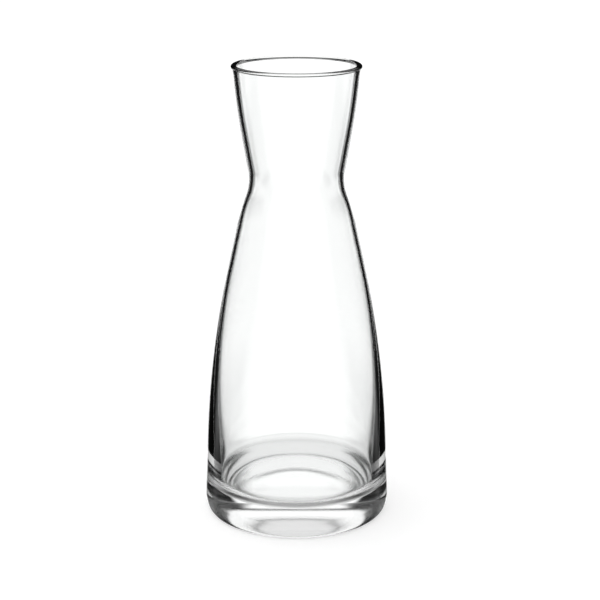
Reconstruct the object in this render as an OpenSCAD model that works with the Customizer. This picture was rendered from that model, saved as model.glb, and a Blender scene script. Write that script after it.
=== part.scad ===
// Free-standing water carafe of clear pressed and blown glass, in millimetres.
// It is one vessel, turned about the Z axis: a thick base, a belly that leans in to a
// narrow waist, and a neck that flares out again to a round, fire-polished rim.
// The origin is the middle of the base on the table, with +Z up.

/* [Body outside] */
// Height from the table to the top of the rim
carafe_h = 258; // [240:1:280]
// Widest diameter, at the top of the rounded heel
heel_d = 106; // [98:0.5:116]
// How far the heel draws in on each side, from the widest diameter to the bearing ring
heel_in = 4; // [2:0.5:6]
// Height of the rounded heel
heel_h = 10; // [7:0.5:13]
// How far the short skirt above the heel leans in on each side
skirt_in = 0.8; // [0.4:0.1:1.4]
// Height of the skirt above the heel
skirt_rise = 15; // [10:1:20]
// How far in from the heel the belly corner lies on each side
belly_in = 3.1; // [2:0.1:4.5]
// Height above the table of the corner where skirt line and belly line meet
belly_h = 93; // [80:1:104]
// Radius that blends that corner into a full belly
belly_blend_r = 575; // [300:5:600]

/* [Waist] */
// Diameter of the corner at the bottom of the waist crease
waist_d = 51.8; // [44:0.2:58]
// How far the waist lies below the rim
waist_drop = 65.6; // [56:0.2:74]
// Radius that blends the waist crease
waist_blend_r = 26.5; // [10:0.5:32]
// How far out from the waist the shoulder corner lies on each side
shoulder_out = 5.6; // [4.6:0.1:6.6]
// How far the shoulder corner lies below the waist
shoulder_drop = 16.4; // [13:0.2:20]
// Radius that blends the shoulder
shoulder_blend_r = 165; // [80:5:180]

/* [Neck and rim] */
// How far out from the waist the throat corner lies on each side, where the neck gets steeper
throat_out = 7.6; // [6.4:0.1:9]
// How far the throat corner lies below the rim
throat_drop = 21; // [17:0.5:26]
// Radius that blends the throat
throat_blend_r = 380; // [150:10:400]
// Diameter of the wall at the very top, under the rim bead
mouth_d = 70.5; // [66:0.5:76]
// How far the fire-polished bead stands out past the wall
bead_proud = 0.75; // [0.3:0.05:1.2]
// Height of the bead
bead_h = 2.2; // [1.6:0.1:3.6]

/* [Glass thickness] */
// Thickness of the base, from the bearing ring to the inner floor
base_t = 14; // [11:0.5:18]
// Wall at the foot, where the wall line meets the floor
foot_wall = 7.2; // [5.5:0.1:9]
// Wall between the outside and inside belly corners
belly_wall = 2.3; // [1.8:0.1:3.2]
// Wall at the shoulder corner
shoulder_wall = 2.1; // [1.6:0.1:2.8]
// Wall at the waist
waist_wall = 2.8; // [2:0.1:3.6]
// Wall at the throat corner
throat_wall = 2.4; // [1.8:0.1:3.2]
// Wall at the mouth
mouth_wall = 2.5; // [1.8:0.1:3.2]

/* [Inside blends] */
// Radius between the inner floor and the wall
floor_fillet_r = 11; // [7:0.5:13]
// Radius inside the belly, tighter than the outside so that the wall swells towards the foot
inner_belly_r = 400; // [250:5:480]
// Radius inside the shoulder
inner_shoulder_r = 100; // [60:5:120]
// Radius inside the waist crease
inner_waist_r = 27; // [12:0.5:30]
// Radius inside the throat
inner_throat_r = 330; // [150:10:380]

/* [Underside] */
// Width of the flat ring that the carafe stands on
ring_w = 3; // [2:0.5:6]
// Depth of the shallow dish inside the ring
punt_h = 6; // [4:0.25:7]

/* [Smoothness] */
// Facets along each blend of the outline
blend_steps = 16; // [8:1:32]
// Facets around the carafe
round_steps = 180; // [96:12:360]

/* [Hidden] */

// Heights of the corners, counted up from the table or down from the rim.
skirt_h = heel_h + skirt_rise;
waist_h = carafe_h - waist_drop;
shoulder_h = waist_h - shoulder_drop;
throat_h = carafe_h - throat_drop;

// Radii of the outside corners.
heel_r = heel_d / 2;
skirt_r = heel_r - skirt_in;
belly_r = heel_r - belly_in;
waist_r = waist_d / 2;
shoulder_r = waist_r + shoulder_out;
throat_r = waist_r + throat_out;
mouth_r = mouth_d / 2;

// The outside corners of the glass as [radius, height], from the heel up to the mouth.
outer_corners = [
    [heel_r, heel_h],
    [skirt_r, skirt_h],
    [belly_r, belly_h],
    [shoulder_r, shoulder_h],
    [waist_r, waist_h],
    [throat_r, throat_h],
    [mouth_r, carafe_h]
];
// The skirt's end is a soft break, so its radius is the height of the skirt itself.
outer_blends = [0, skirt_rise, belly_blend_r, shoulder_blend_r, waist_blend_r, throat_blend_r, 0];

// The inside follows the outside at each corner, less the wall there, and starts on the floor.
inner_corners = [
    [0, base_t],
    [skirt_r - foot_wall, base_t],
    [belly_r - belly_wall, belly_h],
    [shoulder_r - shoulder_wall, shoulder_h],
    [waist_r - waist_wall, waist_h],
    [throat_r - throat_wall, throat_h],
    [mouth_r - mouth_wall, carafe_h]
];
// The mould shapes the outside and the air inside, so the inside has blends of its own.
inner_blends = [0, floor_fillet_r, inner_belly_r, inner_shoulder_r, inner_waist_r, inner_throat_r, 0];
// How much of the shorter line beside it each corner's blend may take up, so that two
// neighbouring blends always have room for each other. At the sizes above none is held back.
room_shares = [0, 0.3, 0.8, 0.55, 0.44, 0.82, 0];

// The rim bead is an oval as wide as the wall and its overhang, flush with the inside.
bead_w = mouth_wall + bead_proud;
bead_centre = [mouth_r + bead_proud - bead_w / 2, carafe_h - bead_h / 2];
// Angle at which the oval comes out of the outside of the wall, below its middle.
bead_start = -acos((mouth_wall - bead_proud) / bead_w);

// Points of an oval arc about a centre, from one angle to another.
function oval_arc(centre, half_w, half_h, from, to, steps) =
    [for (i = [0:steps]) let (a = from + (to - from) * i / steps)
        centre + [half_w * cos(a), half_h * sin(a)]];

// Unit vector from one point to another.
function towards(a, b) = (b - a) / norm(b - a);

// The blend at corner b between its neighbours a and c: a tangent arc of radius r, or less where
// the shorter line beside it hasn't the room.
function blended_corner(a, b, c, r, room_share) =
    let (
        back = towards(b, a),
        on = towards(b, c),
        half = acos(back * on) / 2,
        run = min(r / tan(half), room_share * min(norm(a - b), norm(c - b))),
        start = b + back * run,
        end = b + on * run,
        middle = b + towards([0, 0], back + on) * run / cos(half),
        from = atan2(start[1] - middle[1], start[0] - middle[0]),
        turn = atan2(end[1] - middle[1], end[0] - middle[0]) - from,
        short = turn > 180 ? turn - 360 : turn < -180 ? turn + 360 : turn,
        radius = run * tan(half)
    )
    oval_arc(middle, radius, radius, from, from + short, blend_steps);

// A chain of corners with each one blended by its own radius; a radius of 0 keeps it sharp.
function blended_chain(corners, blends) =
    [for (i = [0:len(corners) - 1]) each
        blends[i] == 0 ? [corners[i]]
        : blended_corner(corners[i - 1], corners[i], corners[i + 1], blends[i], room_shares[i])];

// The same points in the opposite order.
function reversed(points) = [for (i = [len(points) - 1:-1:0]) points[i]];

// All points but the last.
function without_last(points) = [for (i = [0:len(points) - 2]) points[i]];

// The dish under the base, as the arc of the ball that it is cut from.
punt_r = heel_r - heel_in - ring_w;
punt_ball_r = (punt_r * punt_r + punt_h * punt_h) / (2 * punt_h);
punt_half_angle = asin(punt_r / punt_ball_r);
punt_arc = oval_arc([0, punt_h - punt_ball_r], punt_ball_r, punt_ball_r,
    90, 90 - punt_half_angle, blend_steps);

// The heel rises from the bearing ring to the widest diameter in a quarter oval.
heel_arc = oval_arc([heel_r - heel_in, heel_h], heel_in, heel_h, -90, 0, blend_steps);

// The bead starts on the outside wall, goes over the top and ends flush with the inside wall.
bead_arc = oval_arc(bead_centre, bead_w / 2, bead_h / 2, bead_start, 180, 2 * blend_steps);

// The mouth's own corner points are left out on both sides, where the bead takes over.
outer_wall = without_last(blended_chain(outer_corners, outer_blends));
inner_wall = without_last(blended_chain(inner_corners, inner_blends));

// Half the section through the glass: under the base, up the outside, over the rim and down inside.
// The heel's last point is the wall's first, so it is given once.
glass_outline = concat(punt_arc, without_last(heel_arc), outer_wall, bead_arc, reversed(inner_wall));

// The whole vessel in one piece of clear glass.
module carafe() {
    color([0.86, 0.92, 0.92, 0.45])
        rotate_extrude($fn = round_steps)
            polygon(glass_outline);
}

carafe();
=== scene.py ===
# %% [markdown]
# A water carafe of clear glass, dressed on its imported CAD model.
# The CAD model holds the real shape and size. This lesson makes the glass look right: a smooth
# surface of revolution, a physical glass material, and a studio that shows its edges dark and
# its middle bright, which is how clear glass is photographed on white.
# Everything is in metres, with the middle of the base at the origin and +Z up.

# %% Load the frame
import math
import bpy
import bmesh
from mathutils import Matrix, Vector


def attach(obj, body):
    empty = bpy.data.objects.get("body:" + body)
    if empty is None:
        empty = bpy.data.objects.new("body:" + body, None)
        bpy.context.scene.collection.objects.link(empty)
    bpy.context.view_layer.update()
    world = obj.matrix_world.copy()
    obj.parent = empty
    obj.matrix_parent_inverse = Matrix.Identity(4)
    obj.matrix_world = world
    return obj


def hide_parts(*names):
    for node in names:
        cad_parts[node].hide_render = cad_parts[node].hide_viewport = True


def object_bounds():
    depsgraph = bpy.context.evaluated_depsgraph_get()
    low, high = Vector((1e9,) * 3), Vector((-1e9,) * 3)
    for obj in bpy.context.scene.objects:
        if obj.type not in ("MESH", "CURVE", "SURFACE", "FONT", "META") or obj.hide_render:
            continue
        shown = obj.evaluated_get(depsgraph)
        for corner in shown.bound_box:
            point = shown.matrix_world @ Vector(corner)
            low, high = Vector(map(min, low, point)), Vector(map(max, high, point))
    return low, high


MM = 0.001
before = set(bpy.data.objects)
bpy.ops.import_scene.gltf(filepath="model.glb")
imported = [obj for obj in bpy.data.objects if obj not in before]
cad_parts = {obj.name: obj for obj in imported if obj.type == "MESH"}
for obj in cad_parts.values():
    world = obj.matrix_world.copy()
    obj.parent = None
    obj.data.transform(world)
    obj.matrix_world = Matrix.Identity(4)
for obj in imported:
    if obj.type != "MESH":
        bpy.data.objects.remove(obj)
cad_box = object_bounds()
carafe_height = cad_box[1].z
carafe_radius = cad_box[1].x
print(f"carafe is {carafe_height / MM:.1f} mm tall and {2 * carafe_radius / MM:.1f} mm wide")

# %% [markdown]
# The camera comes first, because everything is judged through it. A long lens, about a metre
# away and looking slightly down, gives the flat rim oval at the top and the rounder base
# below. The object's axis lies a little left of the picture's middle, so the camera stands a
# little to the right of it, and no lens shift is needed.

# %% Camera
CAMERA_DISTANCE = 938 * MM
CAMERA_HEIGHT = 394.4 * MM
CAMERA_SIDE = 1.9 * MM
CAMERA_PITCH = math.radians(16.07)
CAMERA_LENS = 103.4
FULL_FRAME_WIDTH = 36

camera_data = bpy.data.cameras.new("camera")
camera_data.sensor_width = FULL_FRAME_WIDTH
camera_data.lens = CAMERA_LENS
camera = bpy.data.objects.new("camera", camera_data)
camera.location = (CAMERA_SIDE, -CAMERA_DISTANCE, CAMERA_HEIGHT)
camera.rotation_euler = (math.pi / 2 - CAMERA_PITCH, 0, 0)
bpy.context.collection.objects.link(camera)
bpy.context.scene.camera = camera
print(f"camera looks down by {math.degrees(CAMERA_PITCH):.1f} degrees")

# %% [markdown]
# The glass is round, so one half section holds its whole shape. It could be typed in again, but
# then it could drift away from the CAD model. Here it is cut out of the CAD mesh instead: a
# copy is merged and sliced by the plane through the axis, and the slice is walked from the
# middle of the underside, up the outside, over the rim and down the inside to the floor. The
# floor is level and may have no point on the axis, so the walk is led to it at the end.

# %% Half section
AXIS_NEAR = 0.02 * MM
MERGE_NEAR = 0.001 * MM


def half_section(node):
    """The (radius, height) points of a round CAD node's half section, in order."""
    mesh = bmesh.new()
    mesh.from_mesh(node.data)
    bmesh.ops.remove_doubles(mesh, verts=mesh.verts, dist=MERGE_NEAR)
    cut = bmesh.ops.bisect_plane(
        mesh,
        geom=mesh.verts[:] + mesh.edges[:] + mesh.faces[:],
        dist=MERGE_NEAR,
        plane_co=(0, 0, 0),
        plane_no=(0, 1, 0),
    )["geom_cut"]
    cut_points = (item for item in cut if isinstance(item, bmesh.types.BMVert))
    on_cut = {vert for vert in cut_points if vert.co.x > -AXIS_NEAR}
    here = min(on_cut, key=lambda vert: (abs(vert.co.x) > AXIS_NEAR, vert.co.z))
    walked = [here]
    seen = {here}
    while True:
        ahead = [
            edge.other_vert(here)
            for edge in here.link_edges
            if edge.other_vert(here) in on_cut and edge.other_vert(here) not in seen
        ]
        if not ahead:
            break
        here = min(ahead, key=lambda vert: (vert.co - here.co).length)
        seen.add(here)
        walked.append(here)
    points = [Vector((max(vert.co.x, 0), vert.co.z)) for vert in walked]
    mesh.free()
    if points[-1].x > AXIS_NEAR:
        points.append(Vector((0, points[-1].y)))
    return points


section = half_section(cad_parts["carafe"])
print(f"half section: {len(section)} points, from {section[0][:]} to {section[-1][:]}")

# %% [markdown]
# The slice has the CAD mesh's flats: arcs in steps of a few degrees, and straight walls in one
# long step. Glass bends light by its normals, so a flat that the eye would never see in a matt
# cup shows as a ring here. So the outline is drawn again through the same corners. Points that
# lie in the middle of a straight step are left out first. Then each corner gets a direction: the
# mean of its two steps on an arc, or that of the far longer step where a straight wall meets an
# arc. A cubic curve fills in between. True creases, such as the one under the bead, stay sharp.

# %% Smooth outline
POINT_GAP = 0.1 * MM
LONGEST_STEP = 3 * MM
LARGEST_TURN = math.radians(2.5)
STRAIGHT_TURN = math.radians(0.01)
CREASE_TURN = math.radians(20)
STRAIGHT_TO_ARC = 2.2


def corners_of(points):
    """The points without those on top of the one before or in the middle of a straight step."""
    kept = [points[0]]
    for point, after in zip(points[1:], points[2:]):
        step = point - kept[-1]
        if step.length > POINT_GAP and abs(step.angle_signed(after - point, 0)) > STRAIGHT_TURN:
            kept.append(point)
    return kept + [points[-1]]


def end_directions(points):
    """For each step between two points, the direction in which the outline leaves and arrives."""
    steps = [b - a for a, b in zip(points, points[1:])]
    leaving, arriving = [steps[0].normalized()], []
    for before, after in zip(steps, steps[1:]):
        into, out = before.normalized(), after.normalized()
        if abs(into.angle_signed(out)) <= CREASE_TURN:
            if before.length > STRAIGHT_TO_ARC * after.length:
                out = into
            elif after.length > STRAIGHT_TO_ARC * before.length:
                into = out
            else:
                into = out = (into + out).normalized()
        arriving.append(into)
        leaving.append(out)
    arriving.append(steps[-1].normalized())
    return list(zip(leaving, arriving))


def smooth_outline(points):
    """The outline through the points, with cubic curves between them in fine, even steps."""
    points = corners_of(points)
    outline = [points[0]]
    for (start, end), (leave, arrive) in zip(zip(points, points[1:]), end_directions(points)):
        span = (end - start).length
        turn = abs(leave.angle_signed(arrive))
        pieces = max(1, math.ceil(span / LONGEST_STEP), math.ceil(turn / LARGEST_TURN))
        for k in range(1, pieces + 1):
            t = k / pieces
            outline.append(
                start * (2 * t**3 - 3 * t**2 + 1)
                + leave * span * (t**3 - 2 * t**2 + t)
                + end * (3 * t**2 - 2 * t**3)
                + arrive * span * (t**3 - t**2)
            )
    return [
        Vector((min(max(point.x, 0), carafe_radius), min(max(point.y, 0), carafe_height)))
        for point in outline
    ]


outline = smooth_outline(section)
print(f"smooth outline: {len(outline)} points")

# %% [markdown]
# Three small helpers write node trees as short lines of arithmetic. They give sockets back, so
# their results can be passed on like numbers.

# %% Node helpers


def math_node(tree, operation, first, second):
    """A Math node on two values, which may be sockets or numbers; gives its output."""
    node = tree.nodes.new("ShaderNodeMath")
    node.operation = operation
    for socket, value in zip(node.inputs, (first, second)):
        if isinstance(value, (int, float)):
            socket.default_value = value
        else:
            tree.links.new(value, socket)
    return node.outputs[0]


def soft_step(tree, value, edge, softness, rising):
    """A soft change between 0 and 1 where a value passes an edge."""
    step = tree.nodes.new("ShaderNodeMapRange")
    step.interpolation_type = "SMOOTHSTEP"
    step.inputs["From Min"].default_value = edge - softness
    step.inputs["From Max"].default_value = edge + softness
    step.inputs["To Min"].default_value = 0 if rising else 1
    step.inputs["To Max"].default_value = 1 if rising else 0
    tree.links.new(value, step.inputs["Value"])
    return step.outputs["Result"]


def soft_window(tree, across, along, left, right, bottom, top, side_softness, lift_softness):
    """1 inside a soft-edged rectangle of two values and 0 outside it; its output."""
    wide = math_node(
        tree,
        "MULTIPLY",
        soft_step(tree, across, left, side_softness, True),
        soft_step(tree, across, right, side_softness, False),
    )
    high = math_node(
        tree,
        "MULTIPLY",
        soft_step(tree, along, bottom, lift_softness, True),
        soft_step(tree, along, top, lift_softness, False),
    )
    return math_node(tree, "MULTIPLY", wide, high)


print("node helpers are ready")

# %% [markdown]
# Clear soda-lime glass is the whole finish. It bends light by its refractive index and has no
# colour of its own at this thickness. Blown and pressed glass is never optically flat, so a
# slow waviness moves its normals by a fraction of a degree. The wall is polished by fire, but a
# cold plunger and a cold plate press the base, so its inner corner, its floor and its underside
# stay a little rough, and what is seen through them is soft.
#
# The thick base needs one thing more. Light that enters low in front goes to and fro between the
# inner floor and the underside. The renderer follows four reflections and would then return
# black. So the underside hands a ray that has been reflected that often a brightness of its own.
# This is a stand-in: the brightness is set to match the pale patch that such a base shows. A ray
# from the camera has no reflections behind it, so the glass doesn't glow.
#
# Where the inner floor and the dish under the base lie is read off the outline's two ends.

# %% Clear glass
GLASS_INDEX = 1.52
GLASS_WAVE_SIZE = 30 * MM
GLASS_WAVE_DEPTH = 0.02 * MM
GLASS_CLEAR = (0.985, 0.992, 0.989, 1)
CORNER_ROUGHNESS = 0.3
FLOOR_ROUGHNESS = 0.12
UNDERSIDE_ROUGHNESS = 0.07
FACE_MARGIN = 0.5 * MM
FLOOR_RADIUS = 30 * MM
INSIDE_RADIUS = 46.8 * MM
CORNER_TOP = 23 * MM
BLEND = 5 * MM
DISH_MARGIN = 1.5 * MM
UNDERSIDE_RADIUS = 42 * MM
REFLECTIONS_FOLLOWED = 3.5
DEEP_LIGHT = 0.8

just_below_floor = outline[-1].y - FACE_MARGIN
just_above_dish = outline[0].y + DISH_MARGIN


def clear_glass():
    """Clear glass, wavy all over and a little rough round the base, with light deep inside it."""
    material = bpy.data.materials.new("clear_glass")
    material.use_nodes = True
    tree = material.node_tree
    nodes, links = tree.nodes, tree.links
    shader = nodes["Principled BSDF"]
    shader.inputs["Base Color"].default_value = GLASS_CLEAR
    shader.inputs["Metallic"].default_value = 0
    shader.inputs["IOR"].default_value = GLASS_INDEX
    shader.inputs["Transmission Weight"].default_value = 1
    place = nodes.new("ShaderNodeTexCoord").outputs["Object"]
    wave = nodes.new("ShaderNodeTexNoise")
    wave.inputs["Scale"].default_value = 1 / GLASS_WAVE_SIZE
    wave.inputs["Detail"].default_value = 1
    bump = nodes.new("ShaderNodeBump")
    bump.inputs["Distance"].default_value = GLASS_WAVE_DEPTH
    links.new(place, wave.inputs["Vector"])
    links.new(wave.outputs["Fac"], bump.inputs["Height"])
    links.new(bump.outputs["Normal"], shader.inputs["Normal"])

    axes = nodes.new("ShaderNodeSeparateXYZ")
    links.new(place, axes.inputs["Vector"])
    height = axes.outputs["Z"]
    across = math_node(tree, "MULTIPLY", axes.outputs["X"], axes.outputs["X"])
    along = math_node(tree, "MULTIPLY", axes.outputs["Y"], axes.outputs["Y"])
    radius = math_node(tree, "SQRT", math_node(tree, "ADD", across, along), 0)

    low = math_node(tree, "LESS_THAN", height, just_above_dish)
    near_axis = math_node(tree, "LESS_THAN", radius, UNDERSIDE_RADIUS)
    underside = math_node(tree, "MULTIPLY", low, near_axis)
    above = math_node(tree, "GREATER_THAN", height, just_below_floor)
    inside_wall = math_node(tree, "LESS_THAN", radius, INSIDE_RADIUS)
    within = math_node(tree, "MULTIPLY", above, inside_wall)
    pressed = math_node(tree, "MULTIPLY", within, soft_step(tree, height, CORNER_TOP, BLEND, False))
    corner = soft_step(tree, radius, FLOOR_RADIUS, BLEND, True)
    extra = math_node(tree, "MULTIPLY", corner, CORNER_ROUGHNESS - FLOOR_ROUGHNESS)
    inside = math_node(tree, "MULTIPLY", pressed, math_node(tree, "ADD", extra, FLOOR_ROUGHNESS))
    below = math_node(tree, "MULTIPLY", underside, UNDERSIDE_ROUGHNESS)
    links.new(math_node(tree, "ADD", inside, below), shader.inputs["Roughness"])

    reflections = nodes.new("ShaderNodeLightPath").outputs["Glossy Depth"]
    deep = math_node(tree, "GREATER_THAN", reflections, REFLECTIONS_FOLLOWED)
    lost = math_node(tree, "MULTIPLY", deep, underside)
    links.new(math_node(tree, "MULTIPLY", lost, DEEP_LIGHT), shader.inputs["Emission Strength"])
    shader.inputs["Emission Color"].default_value = (1, 1, 1, 1)
    return material


glass = clear_glass()
print(f"material {glass.name}: index {GLASS_INDEX}")

# %% [markdown]
# Now the outline is turned into glass. A spin tool would do it once, by hand; a Geometry Nodes
# tree keeps it as a rule. A flat grid has one row for each point of the outline and one column
# for each step around. Every grid point looks up its outline point by index and is swung about
# the axis by its column's angle. Merging closes the seam and the two poles, and edges that turn
# sharply, such as the one under the bead, are kept sharp in the shading.

# %% Turned glass
STEPS_AROUND = 192
FULL_TURN = 2 * math.pi


def turned_glass_tree():
    """A node group that turns an outline in the XZ plane about Z into a closed, smooth skin."""
    tree = bpy.data.node_groups.new("turned_glass", "GeometryNodeTree")
    sockets = tree.interface
    sockets.new_socket("Outline", in_out="INPUT", socket_type="NodeSocketGeometry")
    sockets.new_socket("Steps Around", in_out="INPUT", socket_type="NodeSocketInt")
    sockets.new_socket("Merge Distance", in_out="INPUT", socket_type="NodeSocketFloat")
    sockets.new_socket("Crease Angle", in_out="INPUT", socket_type="NodeSocketFloat")
    sockets.new_socket("Material", in_out="INPUT", socket_type="NodeSocketMaterial")
    sockets.new_socket("Glass", in_out="OUTPUT", socket_type="NodeSocketGeometry")
    nodes, links = tree.nodes, tree.links
    given = nodes.new("NodeGroupInput").outputs
    count = nodes.new("GeometryNodeAttributeDomainSize")
    links.new(given["Outline"], count.inputs["Geometry"])
    rows = count.outputs["Point Count"]
    columns = math_node(tree, "ADD", given["Steps Around"], 1)

    grid = nodes.new("GeometryNodeMeshGrid")
    links.new(columns, grid.inputs["Vertices X"])
    links.new(rows, grid.inputs["Vertices Y"])

    index = nodes.new("GeometryNodeInputIndex").outputs["Index"]
    row = math_node(tree, "MODULO", index, rows)
    column = math_node(tree, "FLOOR", math_node(tree, "DIVIDE", index, rows), 0)
    step_angle = math_node(tree, "DIVIDE", FULL_TURN, given["Steps Around"])
    angle = math_node(tree, "MULTIPLY", column, step_angle)

    look_up = nodes.new("GeometryNodeSampleIndex")
    look_up.data_type = "FLOAT_VECTOR"
    links.new(given["Outline"], look_up.inputs["Geometry"])
    links.new(nodes.new("GeometryNodeInputPosition").outputs[0], look_up.inputs["Value"])
    links.new(row, look_up.inputs["Index"])
    swing = nodes.new("ShaderNodeVectorRotate")
    swing.rotation_type = "Z_AXIS"
    links.new(look_up.outputs["Value"], swing.inputs["Vector"])
    links.new(angle, swing.inputs["Angle"])
    wrap = nodes.new("GeometryNodeSetPosition")
    links.new(grid.outputs["Mesh"], wrap.inputs["Geometry"])
    links.new(swing.outputs["Vector"], wrap.inputs["Position"])

    merge = nodes.new("GeometryNodeMergeByDistance")
    links.new(wrap.outputs["Geometry"], merge.inputs["Geometry"])
    links.new(given["Merge Distance"], merge.inputs["Distance"])
    smooth = nodes.new("GeometryNodeSetShadeSmooth")
    links.new(merge.outputs["Geometry"], smooth.inputs["Geometry"])
    edge_angle = nodes.new("GeometryNodeInputMeshEdgeAngle").outputs["Unsigned Angle"]
    sharp = math_node(tree, "GREATER_THAN", edge_angle, given["Crease Angle"])
    crease = nodes.new("GeometryNodeSetShadeSmooth")
    crease.domain = "EDGE"
    crease.inputs["Shade Smooth"].default_value = False
    links.new(smooth.outputs["Geometry"], crease.inputs["Geometry"])
    links.new(sharp, crease.inputs["Selection"])

    real = nodes.new("GeometryNodeRealizeInstances")
    links.new(crease.outputs["Geometry"], real.inputs["Geometry"])
    coat = nodes.new("GeometryNodeSetMaterial")
    links.new(real.outputs["Geometry"], coat.inputs["Geometry"])
    links.new(given["Material"], coat.inputs["Material"])
    links.new(coat.outputs["Geometry"], nodes.new("NodeGroupOutput").inputs["Glass"])
    return tree


def set_inputs(modifier, **values):
    """Sets a Geometry Nodes modifier's inputs, given by name, through their identifiers."""
    identifiers = {
        item.name: item.identifier
        for item in modifier.node_group.interface.items_tree
        if item.item_type == "SOCKET" and item.in_out == "INPUT"
    }
    for name, value in values.items():
        modifier[identifiers[name.replace("_", " ")]] = value


def turned(name, outline, material):
    """A mesh object made by turning an outline of (radius, height) points about Z."""
    wire = bpy.data.meshes.new(name + "_outline")
    points = [(point.x, 0, point.y) for point in outline]
    wire.from_pydata(points, [(i, i + 1) for i in range(len(points) - 1)], [])
    maker = bpy.data.objects.new(name + "_maker", wire)
    bpy.context.collection.objects.link(maker)
    modifier = maker.modifiers.new("turned glass", "NODES")
    modifier.node_group = turned_glass_tree()
    set_inputs(
        modifier,
        Steps_Around=STEPS_AROUND,
        Merge_Distance=MERGE_NEAR,
        Crease_Angle=CREASE_TURN,
        Material=material,
    )
    depsgraph = bpy.context.evaluated_depsgraph_get()
    mesh = bpy.data.meshes.new_from_object(maker.evaluated_get(depsgraph), depsgraph=depsgraph)
    mesh.name = name
    bpy.data.objects.remove(maker)
    piece = bpy.data.objects.new(name, mesh)
    bpy.context.collection.objects.link(piece)
    return piece


carafe_glass = turned("carafe_glass", outline, glass)

check = bmesh.new()
check.from_mesh(carafe_glass.data)
open_edges = sum(1 for edge in check.edges if not edge.is_manifold)
millilitres = check.calc_volume(signed=True) / MM**3 / 1000
check.free()
print(f"turned glass: {len(carafe_glass.data.polygons)} faces, {open_edges} open edges")
print(f"volume of the glass itself: {millilitres:.1f} ml")

# %% [markdown]
# The glass stands in for the CAD solid, which stays in the model for collision and mass.

# %% Frame calls
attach(carafe_glass, "root")
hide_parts("carafe")
print(f"{carafe_glass.name} rides on the root body")

# %% [markdown]
# The floor is plain and pale. It takes the object's soft shadow by its own diffuse colour, and a
# little light of its own, for the camera only, lifts the rest to white. The glass looks past it
# to the studio around, so the floor is hidden from glossy and transmission rays.

# %% Floor
FLOOR_SIZE = 40
FLOOR_COLOR = (0.8, 0.8, 0.8, 1)
FLOOR_LIFT = 0.5


def floor_material():
    """Diffuse pale floor with a lift to white that only the camera sees."""
    material = bpy.data.materials.new("pale_floor")
    material.use_nodes = True
    nodes, links = material.node_tree.nodes, material.node_tree.links
    shader = nodes["Principled BSDF"]
    shader.inputs["Base Color"].default_value = FLOOR_COLOR
    shader.inputs["Roughness"].default_value = 1
    shader.inputs["Specular IOR Level"].default_value = 0
    shader.inputs["Emission Color"].default_value = (1, 1, 1, 1)
    path = nodes.new("ShaderNodeLightPath")
    lift = math_node(material.node_tree, "MULTIPLY", path.outputs["Is Camera Ray"], FLOOR_LIFT)
    links.new(lift, shader.inputs["Emission Strength"])
    return material


floor_mesh = bpy.data.meshes.new("floor")
edge = FLOOR_SIZE / 2
floor_mesh.from_pydata(
    [(-edge, -edge, 0), (edge, -edge, 0), (edge, edge, 0), (-edge, edge, 0)],
    [],
    [(0, 1, 2, 3)],
)
floor_mesh.materials.append(floor_material())
floor = bpy.data.objects.new("floor", floor_mesh)
bpy.context.collection.objects.link(floor)
floor.visible_glossy = False
floor.visible_transmission = False
print(f"floor: {FLOOR_SIZE} m square")

# %% [markdown]
# Clear glass has no colour to photograph: all that can be seen is what it bends into view. On a
# white set it vanishes. The classic cure is a lit card right behind it, no wider than needed,
# with dark flags beside the card. The middle of the glass then shows the card, and the edges,
# where light is bent far sideways, show the flags. Here the surroundings are a large dome that
# only the glass sees, and the cards are painted on it with soft edges. The thick base looks
# further round: up to the ceiling, down to the table and out to the walls, so they have cards
# too. The dome is tied to the camera, as a photographer carries the card round with the camera.

# %% Studio dome
DOME_RADIUS = 3.0
DOME_CENTRE_AHEAD = 975 * MM
DOME_STEPS = 64
FLAG_LIGHT = 0.01
# For each card, in degrees off the view axis: its left, right, bottom and top edge, and the
# half-width of its soft edges at the sides and at the bottom and top. Last comes its brightness.
CARDS = {
    "backlight": (-18, 18, -14, 14, 3, 3, 1.12),
    "foot of the backlight": (-18, 18, -30, -5, 3, 12, 0.97),
    "table": (-24, 24, -50, -24, 9, 10, 0.88),
    "shaded table": (-200, 200, -200, -48, 8, 8, 0.4),
    "ceiling": (-200, 200, 40, 200, 5, 5, 0.92),
    "left wall": (-200, -100, -62, 60, 8, 8, 0.95),
    "right wall": (100, 200, -62, 60, 8, 8, 0.95),
    "left panel": (-110, -50, -10, 14, 6, 6, 1.0),
    "right panel": (50, 110, -10, 14, 6, 6, 1.0),
}


def dome_material():
    """Light that shines from the dome: at each direction, the brightest card there."""
    material = bpy.data.materials.new("studio_dome")
    material.use_nodes = True
    tree = material.node_tree
    tree.nodes.remove(tree.nodes["Principled BSDF"])
    place = tree.nodes.new("ShaderNodeTexCoord")
    axes = tree.nodes.new("ShaderNodeSeparateXYZ")
    tree.links.new(place.outputs["Object"], axes.inputs["Vector"])
    ahead = math_node(tree, "MULTIPLY", axes.outputs["Z"], -1)
    sideways = math_node(tree, "ARCTAN2", axes.outputs["X"], ahead)
    rise = math_node(tree, "DIVIDE", axes.outputs["Y"], DOME_RADIUS)
    upwards = math_node(tree, "ARCSINE", rise, 0)
    brightness = FLAG_LIGHT
    for *edges, level in CARDS.values():
        window = soft_window(tree, sideways, upwards, *map(math.radians, edges))
        card = math_node(tree, "MULTIPLY", window, level)
        brightness = math_node(tree, "MAXIMUM", brightness, card)
    light = tree.nodes.new("ShaderNodeEmission")
    tree.links.new(brightness, light.inputs["Strength"])
    tree.links.new(light.outputs["Emission"], tree.nodes["Material Output"].inputs["Surface"])
    return material


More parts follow.
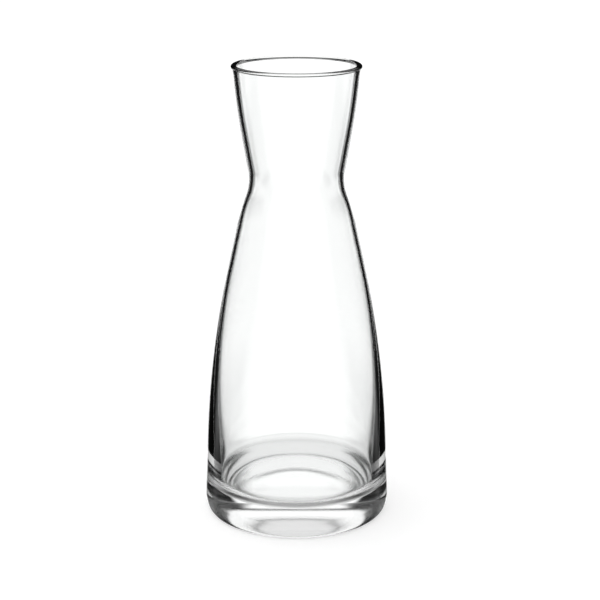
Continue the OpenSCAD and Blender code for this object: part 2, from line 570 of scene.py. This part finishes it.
def glass_only(name, mesh, material, ahead):
    """A stage object at a distance ahead of the camera that only the glass sees."""
    mesh.materials.append(material)
    thing = bpy.data.objects.new(name, mesh)
    bpy.context.collection.objects.link(thing)
    thing.parent = camera
    thing.location = (0, 0, -ahead)
    thing.visible_camera = False
    thing.visible_diffuse = False
    thing.visible_shadow = False
    return thing


dome_mesh = bpy.data.meshes.new("studio_dome")
dome_shape = bmesh.new()
bmesh.ops.create_uvsphere(
    dome_shape,
    u_segments=DOME_STEPS,
    v_segments=DOME_STEPS // 2,
    radius=DOME_RADIUS,
)
dome_shape.to_mesh(dome_mesh)
dome_shape.free()
dome = glass_only("studio_dome", dome_mesh, dome_material(), DOME_CENTRE_AHEAD)
print(f"studio dome: {DOME_RADIUS} m radius with {len(CARDS)} cards")

# %% [markdown]
# One card more stands close behind, beside the upper half of the glass. The base looks up at it
# steeply and shows it as a bright block. The rim looks over its top edge, so its rounding stays
# dark. A card painted on the far dome would look the same from both, and couldn't do that.

# %% Near card
CARD_BEHIND = 300 * MM
CARD_LEFT, CARD_RIGHT = -130 * MM, 130 * MM
CARD_BOTTOM, CARD_TOP = -20 * MM, 200 * MM
CARD_SOFTNESS = 16 * MM
CARD_LIGHT = 1.1


def card_material():
    """Light with soft edges that lets the dome through around it."""
    material = bpy.data.materials.new("near_card")
    material.use_nodes = True
    tree = material.node_tree
    tree.nodes.remove(tree.nodes["Principled BSDF"])
    place = tree.nodes.new("ShaderNodeTexCoord")
    axes = tree.nodes.new("ShaderNodeSeparateXYZ")
    tree.links.new(place.outputs["Object"], axes.inputs["Vector"])
    edges = (CARD_LEFT, CARD_RIGHT, CARD_BOTTOM, CARD_TOP)
    softness = (CARD_SOFTNESS, CARD_SOFTNESS)
    window = soft_window(tree, axes.outputs["X"], axes.outputs["Y"], *edges, *softness)
    light = tree.nodes.new("ShaderNodeEmission")
    light.inputs["Strength"].default_value = CARD_LIGHT
    clear = tree.nodes.new("ShaderNodeBsdfTransparent")
    both = tree.nodes.new("ShaderNodeMixShader")
    tree.links.new(window, both.inputs["Fac"])
    tree.links.new(clear.outputs["BSDF"], both.inputs[1])
    tree.links.new(light.outputs["Emission"], both.inputs[2])
    tree.links.new(both.outputs["Shader"], tree.nodes["Material Output"].inputs["Surface"])
    return material


card_mesh = bpy.data.meshes.new("near_card")
left, right = CARD_LEFT - CARD_SOFTNESS, CARD_RIGHT + CARD_SOFTNESS
bottom, top = CARD_BOTTOM - CARD_SOFTNESS, CARD_TOP + CARD_SOFTNESS
card_mesh.from_pydata(
    [(left, bottom, 0), (right, bottom, 0), (right, top, 0), (left, top, 0)],
    [],
    [(0, 1, 2, 3)],
)
near_card = glass_only("near_card", card_mesh, card_material(), DOME_CENTRE_AHEAD + CARD_BEHIND)
print(f"near card: {(right - left) / MM:.0f} mm wide, {CARD_BEHIND / MM:.0f} mm behind the axis")

# %% [markdown]
# The world is white where the camera, a reflection or the glass looks straight at it, and gives
# the floor an even light. A very large soft sun, almost overhead, adds a pale shadow. It lights
# the floor alone, because the glass is dressed by the dome.

# %% World and sun
AMBIENT = 0.4
SUN_STRENGTH = 1.1
SUN_WIDTH = 70
SUN_TILT = 10


def white_world():
    """White to camera, glossy and transmission rays, and a plain ambient light to the rest."""
    world = bpy.data.worlds.new("studio")
    bpy.context.scene.world = world
    world.use_nodes = True
    tree = world.node_tree
    path = tree.nodes.new("ShaderNodeLightPath")
    seen = math_node(tree, "MAXIMUM", path.outputs["Is Camera Ray"], path.outputs["Is Glossy Ray"])
    seen = math_node(tree, "MAXIMUM", seen, path.outputs["Is Transmission Ray"])
    strength = math_node(tree, "ADD", math_node(tree, "MULTIPLY", seen, 1 - AMBIENT), AMBIENT)
    tree.links.new(strength, tree.nodes["Background"].inputs["Strength"])
    tree.nodes["Background"].inputs["Color"].default_value = (1, 1, 1, 1)


white_world()
sun_data = bpy.data.lights.new("soft_sun", "SUN")
sun_data.energy = SUN_STRENGTH
sun_data.angle = math.radians(SUN_WIDTH)
sun = bpy.data.objects.new("soft_sun", sun_data)
sun.rotation_euler = (0, -math.radians(SUN_TILT), 0)
sun.visible_glossy = False
sun.visible_transmission = False
bpy.context.collection.objects.link(sun)
bpy.context.scene.view_settings.view_transform = "Standard"
print("world and sun are set")
